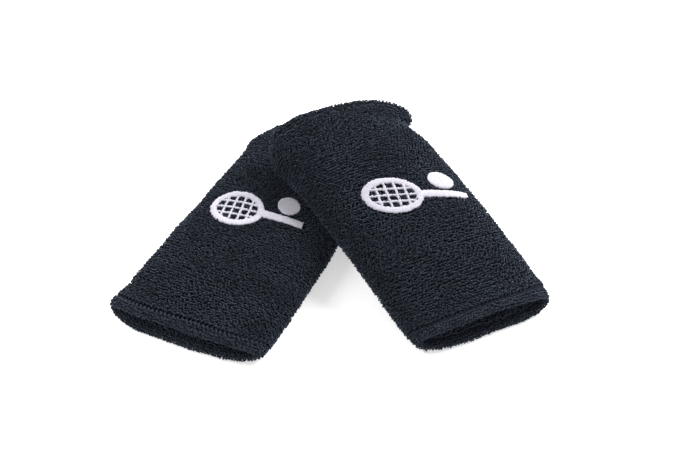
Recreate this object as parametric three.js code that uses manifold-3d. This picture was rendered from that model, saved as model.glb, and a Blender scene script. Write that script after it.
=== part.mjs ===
// A pair of long terry sweat wristbands, laid flat with one lying across the other.
// Each band is a knitted terry tube folded back inside itself, so its wall is two terry
// layers with the elastic yarn and the embroidery's backing between them. The open edge
// is turned into a welt and closed by a chain-stitched seam.
// Millimetres, +Z up. A band's own frame has +Y from its mouth to its fold and +X across.
import * as THREE from "three";
import { mergeVertices } from "three/addons/utils/BufferGeometryUtils.js";
import { TessellateModifier } from "three/addons/modifiers/TessellateModifier.js";
import Module from "manifold-3d";

// ---- Sizes shared by both bands ----
const BAND_LENGTH = 127;
const TERRY = 1.1; // one layer of terry, pressed
const CLEARANCE = 0.3; // between pieces that touch
const BACKING_THICKNESS = 0.25;
const YARN_RADIUS = 0.22;
const YARN_CLEARANCE = 0.5; // between the winding yarn and the flat backing
const YARN_TURNS = 4;
const YARN_END_MARGIN = 9; // from the seam and from the fold
const WELT_LENGTH = 4.4;
const SEAM_RADIUS = 0.35;
const SEAM_DEPTH = 0.35; // of the thread's centre below the terry's face
const SEAM_GROOVE = 1.1; // how far each side of the groove slopes back
const SEAM_SIDES = 6;
const WELT_ROUND = 1.3; // where the bead's rounding begins, back from its tip
const WELT_CORNER = { along: 0.4, depth: 0.6 };
const WELT_TIP = 1.6; // depth at which the bead's tip turns flat
const FOLD_LEG = 4; // how far the far fold reaches back inside
const FOLD_WALL = 2.2;
const FOLD_NOSE = 0.7; // how far the fold's rounded nose falls back at its corners
const FOLD_SHOULDER = 0.5; // depth of those corners
const FOLD_CREASE = 0.3; // how much the crease inside the fold narrows
const TABLE_PRESS = 0.4; // how far the table presses the underside flat
const STACK_GAP = 0.4; // between the crossed bands

// ---- The flattened section: powers of its rounded outline ----
const SIDE_POWER = 2.5;
const TOP_POWER = 2.2;
const UNDER_POWER = 3.2;
const UNDER_SHARE = 0.42; // of the height, below the widest line

// ---- Where the section changes along a band ----
const MOUTH_RUN = 42; // from the mouth's height to the middle's
const FOLD_RUN = 55; // from the middle's height to the fold's
const LIFT_RUN = 0.85; // share of the length over which a band climbs
const ROLL_START = 0.1; // share of the length at which a band starts to roll over
const ROLL_RUN = 0.7;
const FLARE_REACH = 6; // of the flared mouth
const NECK_AT = 12; // the narrow place behind the flare
const NECK_REACH = 5;
const NECK_SHARE = 0.6; // of the flare, taken in at the neck
const FOLD_FLARE_REACH = 7;
const FOLD_NECK_AT = 14;
const FOLD_NECK_REACH = 6;
const FOLD_NECK_SHARE = 0.4;

// ---- Facets ----
const ROUND_STEPS = 32;
const ROUND_STEP = (2 * Math.PI) / ROUND_STEPS;
const MOUTH_STATIONS = [9, 13, 19, 30]; // from the mouth
const MIDDLE_STATIONS = [0.3622, 0.5197]; // shares of the length
const FOLD_STATIONS = [39, 23, 14, 8]; // from the fold
const ROUND_RADIUS = 25; // of the round tube that is laid flat
const RIDE_STATIONS = 40; // samples that find how high the crossing band lies
const MERGE_DISTANCE = 1e-4;

// ---- Each band as it lies ----
const LOWER = {
  name: "lower",
  at: [-73.1, -69],
  turn: THREE.MathUtils.degToRad(-29.2),
  halfWidth: 36.7,
  taper: -4.2,
  mouthFlare: { left: 2.4, right: 1 },
  foldFlare: { left: -4, right: 0 },
  height: { mouth: 13.9, middle: 16.4, fold: 13.9 },
  mouthSkew: 5.7,
  mouthRound: 5.5,
  foldSkew: -6,
  foldRound: 6.9,
  bow: 0.7,
  roll: 0,
  emblem: { along: 70, across: -4.5, turn: THREE.MathUtils.degToRad(13) },
};
const UPPER = {
  name: "upper",
  at: [63, -62.1],
  turn: THREE.MathUtils.degToRad(35.7),
  halfWidth: 33,
  taper: -0.4,
  mouthFlare: { left: 0.8, right: 2.6 },
  foldFlare: { left: -4.3, right: 5.9 },
  height: { mouth: 14.2, middle: 18.1, fold: 23.6 },
  mouthSkew: -8.3,
  mouthRound: 4.4,
  foldSkew: -8.7,
  foldRound: 4.1,
  bow: 1.4,
  roll: 0.027,
  emblem: { along: 67, across: 5.5, turn: THREE.MathUtils.degToRad(-16) },
};

// ---- The embroidered emblem: a plain racket and ball, flat, centred on 0,0 ----
const STITCH_HEIGHT = 0.6;
const HOOP = { x: -9, long: 13, short: 10, width: 3.2 };
const HANDLE = { length: 21, width: 4.2, into: 1.6 };
const STRING_WIDTH = 1;
const STRINGS_ALONG = 3;
const STRINGS_ACROSS = 4;
const BALL = { x: 14, y: 8.5, radius: 5.5 };
const BACKING = { across: 48, along: 34, cellsAcross: 16, cellsAlong: 6 };
const OUTLINE_STEP = 3.5; // longest edge of an embroidered outline
const STITCHED_EDGE = 3.2; // longest edge of an embroidered piece when it is laid
const STITCHED_SPLITS = 8;
const HOOP_STEPS = 28;
const BALL_STEPS = 16;

// Depths below the band's face, from the outside in.
const BACKING_DEPTH = TERRY + CLEARANCE;
const YARN_DEPTH = BACKING_DEPTH + BACKING_THICKNESS + YARN_CLEARANCE + YARN_RADIUS;
const INNER_DEPTH = YARN_DEPTH + YARN_RADIUS + CLEARANCE;
const WALL = INNER_DEPTH + TERRY;
const SLEEVE_START = WELT_LENGTH + CLEARANCE;
const SLEEVE_STATIONS = [
  ...MOUTH_STATIONS,
  ...MIDDLE_STATIONS.map((share) => share * BAND_LENGTH),
  ...FOLD_STATIONS.map((fromFold) => BAND_LENGTH - fromFold),
];

const wasm = await Module();
wasm.setup();

// ---- Materials ----
function fabric(color, roughness) {
  return new THREE.MeshStandardMaterial({ color, roughness, metalness: 0 });
}
const terryMaterial = () => fabric(0x24272f, 0.95);
const liningMaterial = () => fabric(0x1c1f27, 0.95);
const weltMaterial = () => fabric(0x20232c, 0.9);
const seamMaterial = () => fabric(0x15171d, 0.7);
const yarnMaterial = () => fabric(0x2e3037, 0.6);
const backingMaterial = () => fabric(0xd9d9d6, 0.9);
const stitchMaterial = () => fabric(0xeceaf1, 0.45);

// ---- The shape of a band ----

// 0 to 1 along a smooth step.
function ease(x) {
  return THREE.MathUtils.smoothstep(x, 0, 1);
}

function bump(distance, reach) {
  return Math.exp(-((distance / reach) ** 2));
}

function signedPower(x, power) {
  return Math.sign(x) * Math.abs(x) ** power;
}

// Half the width at a place along the band, on its left or its right side.
function halfWidth(band, along, side) {
  const fromFold = BAND_LENGTH - along;
  const mouth = bump(along, FLARE_REACH) - NECK_SHARE * bump(along - NECK_AT, NECK_REACH);
  const foldNeck = FOLD_NECK_SHARE * bump(fromFold - FOLD_NECK_AT, FOLD_NECK_REACH);
  const fold = bump(fromFold, FOLD_FLARE_REACH) - foldNeck;
  const plain = band.halfWidth + (band.taper * along) / BAND_LENGTH;
  return plain + band.mouthFlare[side] * mouth + band.foldFlare[side] * fold;
}

// The height below and above the widest line at a place along the band.
function heights(band, along) {
  const { mouth, middle, fold } = band.height;
  const rise = (middle - mouth) * ease(along / MOUTH_RUN);
  const end = (fold - middle) * ease(1 - (BAND_LENGTH - along) / FOLD_RUN);
  const whole = mouth + rise + end;
  return { under: UNDER_SHARE * whole, above: (1 - UNDER_SHARE) * whole };
}

// Moves a point of the section, across and up, to its place in the band's own frame.
function settle(band, along, across, up, under, depth) {
  const share = along / BAND_LENGTH;
  const roll = band.roll * ease((share - ROLL_START) / ROLL_RUN);
  const over = across * Math.cos(roll) + up * Math.sin(roll);
  const rolledUp = up * Math.cos(roll) - across * Math.sin(roll);
  const u = across / band.halfWidth;
  const mouth = (band.mouthSkew * u + band.mouthRound * u ** 4) * ease(1 - share);
  const fold = (band.foldSkew * u - band.foldRound * u ** 4) * ease(share);
  const height = rolledUp + under - TABLE_PRESS + band.lift * ease(share / LIFT_RUN);
  return new THREE.Vector3(
    over + band.bow * 4 * share * (1 - share),
    along + mouth + fold,
    Math.max(height, depth),
  );
}

// A point of the wall: along the band, round it by angle, and depth below its face.
function lay(band, along, angle, depth) {
  const side = Math.cos(angle) > 0 ? "right" : "left";
  const { under, above } = heights(band, along);
  const across = halfWidth(band, along, side) - depth;
  const x = across * signedPower(Math.cos(angle), 2 / SIDE_POWER);
  const top = Math.sin(angle) > 0;
  const tall = (top ? above : under) - depth;
  const power = top ? TOP_POWER : UNDER_POWER;
  const z = tall * signedPower(Math.sin(angle), 2 / power);
  return settle(band, along, x, z, under, depth);
}

// How far above the widest line the upper face lies at a distance across.
function crown(band, along, across, depth) {
  const side = across > 0 ? "right" : "left";
  const wide = halfWidth(band, along, side) - depth;
  const tall = heights(band, along).above - depth;
  const reach = Math.min(Math.abs(across) / wide, 1);
  return tall * (1 - reach ** SIDE_POWER) ** (1 / TOP_POWER);
}

// The same on the sleeves' own facets, which what lies on or under them follows: round it
// by a number of steps, with the rest of a step and of a station shared out in proportion.
function layOnFacets(band, along, steps, depth) {
  const next = SLEEVE_STATIONS.findIndex((station) => station > along);
  const [low, high] = [SLEEVE_STATIONS[next - 1], SLEEVE_STATIONS[next]];
  const step = Math.floor(steps);
  const ring = (station) => {
    const [from, to] = [step, step + 1].map((k) => lay(band, station, k * ROUND_STEP, depth));
    return from.lerp(to, steps - step);
  };
  return ring(low).lerp(ring(high), (along - low) / (high - low));
}

// How many steps round, from the right edge over the top, a distance across lies.
function stepsAcross(band, along, across) {
  const wide = halfWidth(band, along, across > 0 ? "right" : "left");
  const edge = (k) => wide * signedPower(Math.cos(k * ROUND_STEP), 2 / SIDE_POWER);
  let step = 0;
  while (step < ROUND_STEPS / 2 - 1 && edge(step + 1) > across) step++;
  return step + (edge(step) - across) / (edge(step) - edge(step + 1));
}

// A point of the upper face, by its distances along and across.
function layOnTop(band, along, across, depth) {
  return layOnFacets(band, along, stepsAcross(band, along, across), depth);
}

// How high the crossing band's fold end lies, so that its underside just clears the other.
function liftOver(band, other) {
  const flat = { ...band, lift: 0 };
  const place = new THREE.Matrix4().makeRotationZ(band.turn).setPosition(...band.at, 0);
  const back = new THREE.Matrix4().makeRotationZ(other.turn).setPosition(...other.at, 0);
  place.premultiply(back.invert());
  let lift = 0;
  for (let i = 1; i <= RIDE_STATIONS; i++) {
    const along = (BAND_LENGTH * i) / RIDE_STATIONS;
    const climbed = ease(along / BAND_LENGTH / LIFT_RUN);
    for (let j = 0; j < 2 * ROUND_STEPS; j++) {
      const point = lay(flat, along, (Math.PI * j) / ROUND_STEPS, 0);
      const height = point.z;
      point.applyMatrix4(place);
      const inside = point.y > -NECK_REACH && point.y < BAND_LENGTH + NECK_REACH;
      const at = THREE.MathUtils.clamp(point.y, 0, BAND_LENGTH);
      const share = at / BAND_LENGTH;
      const across = point.x - other.bow * 4 * share * (1 - share);
      const wide = halfWidth(other, at, across > 0 ? "right" : "left");
      if (!inside || Math.abs(across) >= wide) continue;
      const top = heights(other, at).under - TABLE_PRESS + crown(other, at, across, 0);
      lift = Math.max(lift, (top + STACK_GAP - height) / climbed);
    }
  }
  return lift;
}

// ---- From round or flat stock to the band ----

// A piece turned round the tube, its profile given as [along, depth], then laid flat.
function turned(band, profile) {
  const points = [...profile, profile[0]];
  const round = points.map(([along, depth]) => {
    return new THREE.Vector2(ROUND_RADIUS - depth, along);
  });
  return laidFlat(new THREE.LatheGeometry(round, ROUND_STEPS), (along, angle, depth) => {
    return lay(band, along, angle, depth);
  });
}

// Lays a round piece flat: its height is along the band, its radius the depth.
function laidFlat(geometry, place) {
  const position = geometry.getAttribute("position");
  for (let i = 0; i < position.count; i++) {
    const x = position.getX(i);
    const z = position.getZ(i);
    const depth = ROUND_RADIUS - Math.hypot(x, z);
    const point = place(position.getY(i), Math.atan2(z, x), depth);
    position.setXYZ(i, point.x, point.y, point.z);
  }
  return bare(geometry);
}

// Embroidery has its edges split before it is laid, so that it bends over the creases.
function stitched(band, geometry) {
  const split = new TessellateModifier(STITCHED_EDGE, STITCHED_SPLITS);
  return laidOnTop(band, split.modify(geometry.rotateZ(band.emblem.turn)), CLEARANCE);
}

// Lays a flat piece on the upper face: x across, y along, z out from the face.
function laidOnTop(band, geometry, outward) {
  const position = geometry.getAttribute("position");
  for (let i = 0; i < position.count; i++) {
    const across = band.emblem.across + position.getX(i);
    const along = band.emblem.along + position.getY(i);
    const point = layOnTop(band, along, across, -outward - position.getZ(i));
    position.setXYZ(i, point.x, point.y, point.z);
  }
  return bare(geometry);
}

// Only positions, with shared corners merged and fresh normals.
function bare(geometry) {
  geometry.deleteAttribute("normal");
  geometry.deleteAttribute("uv");
  const merged = mergeVertices(geometry, MERGE_DISTANCE);
  merged.computeVertexNormals();
  return merged;
}

function toSolid(geometry) {
  const merged = bare(geometry);
  return new wasm.Manifold(
    new wasm.Mesh({
      numProp: 3,
      vertProperties: merged.getAttribute("position").array,
      triVerts: new Uint32Array(merged.index.array),
    }),
  );
}

function toGeometry(solid) {
  const { vertProperties, triVerts } = solid.getMesh();
  const geometry = new THREE.BufferGeometry();
  geometry.setAttribute("position", new THREE.BufferAttribute(vertProperties, 3));
  geometry.setIndex(new THREE.BufferAttribute(triVerts, 1));
  return geometry;
}

// ---- The terry layers, the welt and the seam ----

// Outer layer: from the seam to the far fold, then round the fold and a little way back.
function outerSleeve(band) {
  const end = BAND_LENGTH;
  const middle = WALL / 2;
  const face = SLEEVE_STATIONS.map((along) => [along, 0]);
  const back = SLEEVE_STATIONS.map((along) => [along, TERRY]).reverse();
  return turned(band, [
    [SLEEVE_START, TERRY],
    [SLEEVE_START + SEAM_GROOVE, 0],
    ...face,
    [end - FOLD_WALL, 0],
    [end - FOLD_NOSE, FOLD_SHOULDER],
    [end, middle - FOLD_NOSE],
    [end, middle + FOLD_NOSE],
    [end - FOLD_NOSE, WALL - FOLD_SHOULDER],
    [end - FOLD_WALL, WALL],
    [end - FOLD_LEG, WALL],
    [end - FOLD_LEG, INNER_DEPTH],
    [end - FOLD_WALL, INNER_DEPTH - FOLD_CREASE],
    [end - FOLD_WALL, TERRY + FOLD_CREASE],
    [end - FOLD_LEG, TERRY],
    ...back,
  ]);
}

// Inner layer: from the welt to the far fold's leg.
function innerSleeve(band) {
  const end = BAND_LENGTH - FOLD_LEG - CLEARANCE;
  const inner = [...SLEEVE_STATIONS, end].reverse().map((along) => [along, WALL]);
  return turned(band, [
    [SLEEVE_START, WALL],
    [SLEEVE_START, INNER_DEPTH],
    ...SLEEVE_STATIONS.map((along) => [along, INNER_DEPTH]),
    [end, INNER_DEPTH],
    ...inner,
  ]);
}

// The turned edge at the mouth, a rounded bead over both layers.
function mouthWelt(band) {
  const back = WELT_LENGTH;
  return turned(band, [
    [back, TERRY + CLEARANCE],
    [back, WALL],
    [WELT_ROUND, WALL],
    [WELT_CORNER.along, WALL - WELT_CORNER.depth],
    [0, WALL - WELT_TIP],
    [0, WELT_TIP],
    [WELT_CORNER.along, WELT_CORNER.depth],
    [WELT_ROUND, 0],
    [back - SEAM_GROOVE, 0],
  ]);
}

// The seam thread, in the groove between the welt and the outer layer.
function mouthSeam(band) {
  const centre = WELT_LENGTH + CLEARANCE / 2;
  const profile = [];
  for (let i = 0; i < SEAM_SIDES; i++) {
    const angle = (2 * Math.PI * i) / SEAM_SIDES;
    const along = centre + SEAM_RADIUS * Math.cos(angle);
    profile.push([along, SEAM_DEPTH + SEAM_RADIUS * Math.sin(angle)]);
  }
  return turned(band, profile);
}

// The elastic yarn winds between the layers from the seam to the fold.
class YarnHelix extends THREE.Curve {
  getPoint(share) {
    const angle = 2 * Math.PI * YARN_TURNS * share;
    const start = SLEEVE_START + YARN_END_MARGIN;
    const end = BAND_LENGTH - FOLD_LEG - YARN_END_MARGIN;
    const radius = ROUND_RADIUS - YARN_DEPTH;
    const along = start + (end - start) * share;
    return new THREE.Vector3(radius * Math.cos(angle), along, radius * Math.sin(angle));
  }
}

function elasticYarn(band) {
  const section = new THREE.Shape();
  section.moveTo(YARN_RADIUS, 0);
  section.lineTo(0, YARN_RADIUS);
  section.lineTo(-YARN_RADIUS, 0);
  section.lineTo(0, -YARN_RADIUS);
  const settings = { steps: YARN_TURNS * ROUND_STEPS, extrudePath: new YarnHelix() };
  return laidFlat(new THREE.ExtrudeGeometry(section, settings), (along, angle, depth) => {
    return layOnFacets(band, along, angle / ROUND_STEP, depth);
  });
}

// ---- The embroidery ----

function ellipse(x, long, short, clockwise) {
  const curve = new THREE.EllipseCurve(x, 0, long, short, 0, 2 * Math.PI, clockwise);
  return curve.getPoints(HOOP_STEPS).slice(0, -1);
}

// The racket's hoop, an elliptical ring, with its throat and handle.
function emblemRacket(band) {
  const { x, long, short, width } = HOOP;
  const outline = new THREE.Shape(ellipse(x, long, short, false));
  outline.holes.push(new THREE.Path(ellipse(x, long - width, short - width, true)));
  const settings = { depth: STITCH_HEIGHT, bevelEnabled: false };
  const hoop = new THREE.ExtrudeGeometry(outline, settings);
  const steps = Math.ceil(HANDLE.length / OUTLINE_STEP);
  const handle = new THREE.BoxGeometry(HANDLE.length, HANDLE.width, STITCH_HEIGHT, steps);
  handle.translate(x + long - HANDLE.into + HANDLE.length / 2, 0, STITCH_HEIGHT / 2);
  const racket = toSolid(hoop).add(toSolid(handle));
  return stitched(band, toGeometry(racket));
}

// One string, long enough to reach the hoop's inside less a clearance.
function emblemString(offset, reach, halfSpan, lengthways) {
  const share = Math.sqrt(1 - ((Math.abs(offset) + STRING_WIDTH / 2) / reach) ** 2);
  const length = 2 * (halfSpan * share - CLEARANCE);
  const steps = Math.ceil(length / OUTLINE_STEP);
  const string = new THREE.BoxGeometry(length, STRING_WIDTH, STITCH_HEIGHT, steps);
  if (!lengthways) string.rotateZ(Math.PI / 2);
  string.translate(lengthways ? 0 : offset, lengthways ? offset : 0, STITCH_HEIGHT / 2);
  return toSolid(string);
}

// The strings: two crossing rows of thin stitched lines, joined where they cross.
function emblemStrings(band) {
  const long = HOOP.long - HOOP.width;
  const short = HOOP.short - HOOP.width;
  const pieces = [];
  for (let i = 0; i < STRINGS_ALONG; i++) {
    const offset = ((i + 1) / (STRINGS_ALONG + 1) - 0.5) * 2 * short;
    pieces.push(emblemString(offset, short, long, true));
  }
  for (let i = 0; i < STRINGS_ACROSS; i++) {
    const offset = ((i + 1) / (STRINGS_ACROSS + 1) - 0.5) * 2 * long;
    pieces.push(emblemString(offset, long, short, false));
  }
  const net = toGeometry(pieces.reduce((joined, piece) => joined.add(piece)));
  return stitched(band, net.translate(HOOP.x, 0, 0));
}

// The ball, a round filled field beside the handle.
function emblemBall(band) {
  const { x, y, radius } = BALL;
  const disc = new THREE.CylinderGeometry(radius, radius, STITCH_HEIGHT, BALL_STEPS);
  disc.rotateX(Math.PI / 2).translate(x, y, STITCH_HEIGHT / 2);
  return stitched(band, disc);
}

// The backing sheet that holds the stitches, between the layers under the emblem. It is
// laid by steps round the band, so that it bends down the side where it reaches it.
function emblemBacking(band) {
  const { across, along, cellsAcross, cellsAlong } = BACKING;
  const thick = BACKING_THICKNESS;
  const sheet = new THREE.BoxGeometry(across, along, thick, cellsAcross, cellsAlong);
  const position = sheet.getAttribute("position");
  for (let i = 0; i < position.count; i++) {
    const place = band.emblem.along + position.getY(i);
    const from = stepsAcross(band, place, band.emblem.across + across / 2);
    const to = stepsAcross(band, place, band.emblem.across - across / 2);
    const steps = from + (to - from) * (0.5 - position.getX(i) / across);
    const depth = BACKING_DEPTH + thick / 2 - position.getZ(i);
    const point = layOnFacets(band, place, steps, depth);
    position.setXYZ(i, point.x, point.y, point.z);
  }
  return bare(sheet);
}

// ---- The pair ----
const PIECES = [
  ["outer_sleeve", outerSleeve, terryMaterial],
  ["inner_sleeve", innerSleeve, liningMaterial],
  ["mouth_welt", mouthWelt, weltMaterial],
  ["mouth_seam_thread", mouthSeam, seamMaterial],
  ["elastic_yarn", elasticYarn, yarnMaterial],
  ["emblem_racket", emblemRacket, stitchMaterial],
  ["emblem_strings", emblemStrings, stitchMaterial],
  ["emblem_ball", emblemBall, stitchMaterial],
  ["emblem_backing", emblemBacking, backingMaterial],
];

function makeBand(band) {
  const group = new THREE.Group();
  for (const [piece, shape, material] of PIECES) {
    const mesh = new THREE.Mesh(shape(band), material());
    mesh.name = `${band.name}_${piece}`;
    group.add(mesh);
  }
  group.position.set(...band.at, 0);
  group.rotation.z = band.turn;
  return group;
}

const lower = { ...LOWER, lift: 0 };
const upper = { ...UPPER, lift: liftOver(UPPER, LOWER) };
const pair = new THREE.Group();
pair.add(makeBand(lower), makeBand(upper));

// The origin is the middle of the pair's outline, on the table.
const bounds = new THREE.Box3().setFromObject(pair, true);
const middle = bounds.getCenter(new THREE.Vector3());
pair.position.set(-middle.x, -middle.y, -bounds.min.z);

export default pair;
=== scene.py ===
"""A pair of long terry sweat wristbands, laid flat with one across the other.

Each band is a looped terry tube folded back inside itself. Its skin is one closed path:
along the outer face, round the far fold, back along the lining and round the mouth's welt.
The ground knit, the welt, the loops and the stray fibres are all laid on that skin, and the
embroidery is laid on the upper face. Sizes are in millimetres and meshes in metres.
"""

from math import cos, pi, radians, sin, sqrt

import bpy
import numpy as np
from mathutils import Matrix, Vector


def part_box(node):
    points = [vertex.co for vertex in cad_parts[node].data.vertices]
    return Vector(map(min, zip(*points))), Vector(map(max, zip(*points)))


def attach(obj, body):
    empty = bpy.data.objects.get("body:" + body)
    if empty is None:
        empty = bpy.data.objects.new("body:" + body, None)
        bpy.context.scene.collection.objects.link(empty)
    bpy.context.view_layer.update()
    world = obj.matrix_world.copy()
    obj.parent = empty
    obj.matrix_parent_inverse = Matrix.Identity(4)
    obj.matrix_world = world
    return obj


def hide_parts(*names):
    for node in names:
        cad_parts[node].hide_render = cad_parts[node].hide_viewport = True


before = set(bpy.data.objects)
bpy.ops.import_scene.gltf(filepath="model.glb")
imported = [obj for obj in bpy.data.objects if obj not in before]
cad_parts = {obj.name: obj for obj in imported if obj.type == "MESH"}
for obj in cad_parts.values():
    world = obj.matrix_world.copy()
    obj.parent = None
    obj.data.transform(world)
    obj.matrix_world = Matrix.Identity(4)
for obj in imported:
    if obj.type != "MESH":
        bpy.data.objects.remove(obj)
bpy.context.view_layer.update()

MM = 0.001

# ---- Sizes shared by both bands, as the solids have them ----
LENGTH = 127.0
TERRY = 1.1
CLEARANCE = 0.3
BACKING_THICKNESS = 0.25
YARN_RADIUS = 0.22
YARN_CLEARANCE = 0.5
YARN_TURNS = 4
YARN_END_MARGIN = 9.0
WELT_LENGTH = 4.4
SEAM_GROOVE = 1.1
FOLD_LEG = 4.0
FOLD_WALL, FOLD_NOSE, FOLD_SHOULDER = 2.2, 0.7, 0.5
TABLE_PRESS = 0.4
BACKING_DEPTH = TERRY + CLEARANCE
YARN_DEPTH = BACKING_DEPTH + BACKING_THICKNESS + YARN_CLEARANCE + YARN_RADIUS
INNER_DEPTH = YARN_DEPTH + YARN_RADIUS + CLEARANCE
WALL = INNER_DEPTH + TERRY
SLEEVE_START = WELT_LENGTH + CLEARANCE
SEAM_AT = WELT_LENGTH + CLEARANCE / 2

# The skin's closed path: a straight run and a half circle, twice.
NOSE = WALL / 2
STRAIGHT = LENGTH - WALL
ARC = pi * NOSE
SKIN_LENGTH = 2 * (STRAIGHT + ARC)

# Places on that path: where the welt ends inside and outside, where the outer layer starts,
# and where it meets the lining.
WELT_SIDE = WELT_LENGTH - NOSE
SEAM_SIDE = SLEEVE_START - NOSE
FOLD_END = STRAIGHT + ARC + FOLD_LEG
WELT_BACK = SKIN_LENGTH - ARC - WELT_SIDE

# The flattened section and where it changes along a band.
SIDE_POWER, TOP_POWER, UNDER_POWER = 2.5, 2.2, 3.2
UNDER_SHARE = 0.42
MOUTH_RUN, FOLD_RUN = 42.0, 55.0
LIFT_RUN = 0.85
ROLL_START, ROLL_RUN = 0.1, 0.7
FLARE_REACH, NECK_AT, NECK_REACH, NECK_SHARE = 6.0, 12.0, 5.0, 0.6
FOLD_FLARE_REACH, FOLD_NECK_AT, FOLD_NECK_REACH, FOLD_NECK_SHARE = 7.0, 14.0, 6.0, 0.4
ROUND_STEPS = 32

# The outer sleeve's profile, (along, depth), which finds each band's place in the frame.
PROFILE = [
    (SLEEVE_START, TERRY), (SLEEVE_START + SEAM_GROOVE, 0.0),
    *[(along, 0.0) for along in (9, 13, 19, 30, 46, 66)],
    *[(LENGTH - back, 0.0) for back in (39, 23, 14, 8, FOLD_WALL)],
    (LENGTH - FOLD_NOSE, FOLD_SHOULDER), (LENGTH, WALL / 2 - FOLD_NOSE),
]

# ---- Each band as it lies. Flares are (left, right), heights (mouth, middle, fold). The
# last two lines are the cloth's own: how it flares at the mouth, draws in behind it and is
# cut askew, how far the upper lip draws back, the share by which the wall thins there, how
# deep the seam pulls it in, and the radius of the covering stitches. ----
LOWER = dict(
    name="lower", at=(-73.1, -69.0), turn=radians(-29.2), half_width=36.7, taper=-4.2,
    mouth_flare=(2.4, 1.0), fold_flare=(-4.0, 0.0), height=(13.9, 16.4, 13.9),
    mouth_skew=5.7, mouth_round=5.5, fold_skew=-6.0, fold_round=6.9, bow=0.7, roll=0.0,
    emblem=dict(along=70.0, across=-4.5, turn=radians(13)), seed=11,
    soft_flare=(0.9, -0.8), soft_neck=(0.5, 0.2), soft_skew=5.3, soft_recede=1.7,
    thin=0.14, dip=0.75, cover=0.46,
)
UPPER = dict(
    name="upper", at=(63.0, -62.1), turn=radians(35.7), half_width=33.0, taper=-0.4,
    mouth_flare=(0.8, 2.6), fold_flare=(-4.3, 5.9), height=(14.2, 18.1, 23.6),
    mouth_skew=-8.3, mouth_round=4.4, fold_skew=-8.7, fold_round=4.1, bow=1.4, roll=0.027,
    emblem=dict(along=67.0, across=5.5, turn=radians(-16)), seed=23,
    soft_flare=(-0.5, -1.8), soft_neck=(0.1, 0.7), soft_skew=-7.5, soft_recede=2.5,
    thin=0.34, dip=0.4, cover=0.26,
)

# ---- The emblem, flat, centred on 0,0: a plain racket and ball ----
STITCH_HEIGHT = 0.6
HOOP = dict(x=-9.0, long=13.0, short=10.0, width=3.2)
HANDLE = dict(length=21.0, width=4.2, into=1.6)
STRING_WIDTH = 1.0
STRINGS_ALONG, STRINGS_ACROSS = 3, 4
BALL = dict(x=14.0, y=8.5, radius=5.5)
BACKING = dict(across=48.0, along=34.0)
STITCH_PITCH = 0.42

# ---- The pile ----
PILE_SINK = 0.45  # how far the ground knit lies below the pressed face
LOOP = dict(along=1.34, round=1.45, height=1.15, width=1.3, radius=0.33)
SHORT_LOOP = dict(along=1.25, round=1.35, height=0.85, width=1.25, radius=0.32)
# How far in from the mouth, and from the fold, the lining carries its loops.
LINING_REACH, FOLD_LOOPS_REACH = 20.0, 12.0
BROAD_SWELL, BROAD_CELL = 0.30, 17.0
FINE_SWELL, FINE_CELL = 0.13, 6.0
SEAM_DIP_REACH = 0.85
THIN_RUN, RECEDE_RUN = 9.0, 14.0
LIP_SHARES = (-0.3, 1.0)  # how far forward and back the lips may draw, as shares
FOLD_RIDGE, FOLD_RIDGE_BACK = 0.45, 6.4
FOLD_DIP, FOLD_DIP_BACK = 0.55, 4.6
FOLD_LINE = 0.9
TABLE_GAP = 0.03  # nothing comes lower over the table
MAP_ROUND, MAP_MARGIN = 160.0, 2  # the way round and the spare cells of a table of drifts


# ---- Small maths ----
def ease(x):
    """0 to 1 by the smooth step 3x^2 - 2x^3."""
    x = np.clip(x, 0.0, 1.0)
    return x * x * (3 - 2 * x)


def bump(distance, reach):
    """A bell of height 1: e to the minus (distance / reach) squared."""
    return np.exp(-((distance / reach) ** 2))


def signed_power(x, power):
    """|x| to the power, with x's sign."""
    return np.sign(x) * np.abs(x) ** power


def unit(v):
    """The same directions at length 1."""
    return v / np.maximum(np.linalg.norm(v, axis=-1, keepdims=True), 1e-12)


def drift(seed, along, share, cell):
    """Smooth random values from -1 to 1: a table of one value per cell, blended by the
    smooth step between cells along the band and, closing on itself, round it."""
    rows, columns = int(LENGTH / cell) + 3 * MAP_MARGIN, int(MAP_ROUND / cell)
    table = np.random.default_rng(seed).uniform(-1, 1, (rows, columns))
    a, b = np.clip(along / cell + MAP_MARGIN, 0, rows - 2), (share % 1.0) * columns
    i, j = np.floor(a).astype(int), np.floor(b).astype(int) % columns
    s, t = ease(a - np.floor(a)), ease(b - np.floor(b))
    k = (j + 1) % columns
    low = table[i, j] * (1 - t) + table[i, k] * t
    return low * (1 - s) + (table[i + 1, j] * (1 - t) + table[i + 1, k] * t) * s


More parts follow.
